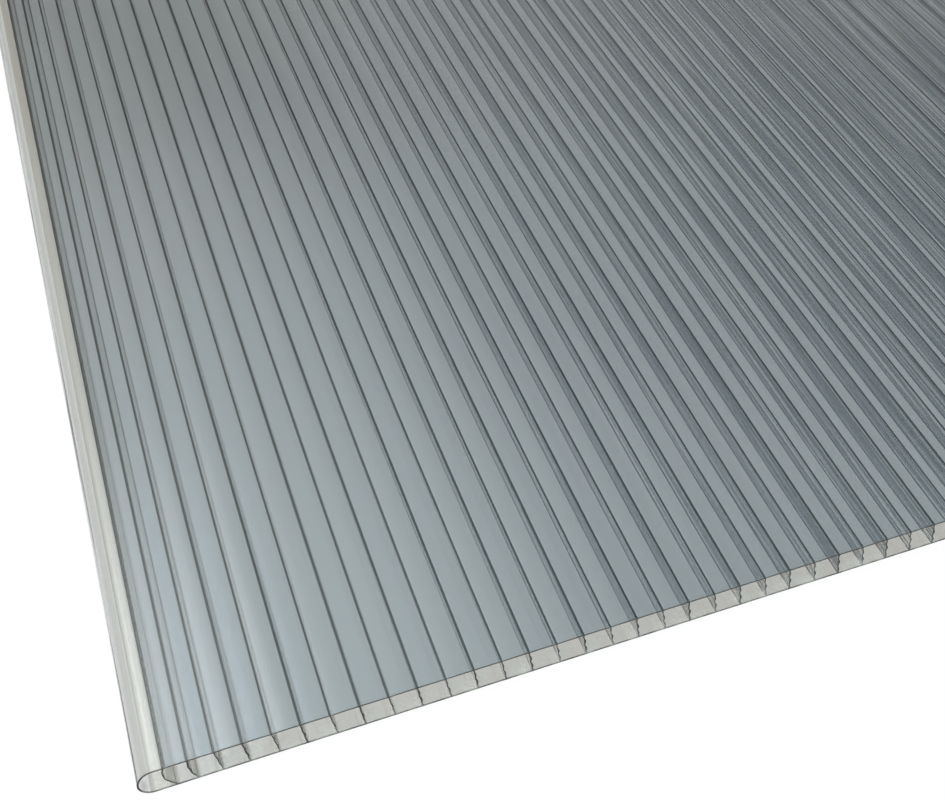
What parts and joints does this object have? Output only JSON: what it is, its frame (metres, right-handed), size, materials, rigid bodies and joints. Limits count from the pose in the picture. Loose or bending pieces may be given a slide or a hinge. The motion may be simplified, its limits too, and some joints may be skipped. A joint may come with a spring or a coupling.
{
  "type": "twin-wall polycarbonate sheet",
  "caption": "Clear smoke-tinted hollow glazing sheet: two thin skins joined by upright ribs, rounded closed long edges, open cut ends.",
  "frame": {"origin": "middle of the underside", "axes": "+Y along the ribs, +X across them, +Z out of the upper skin"},
  "size_m": [0.61, 1.22, 0.01],
  "materials": {
    "smoke_polycarbonate": "glossy, transparent, grey-blue tint"
  },
  "bodies": {
    "root": {"twinwall_sheet": "smoke_polycarbonate"}
  },
  "joints": []
}
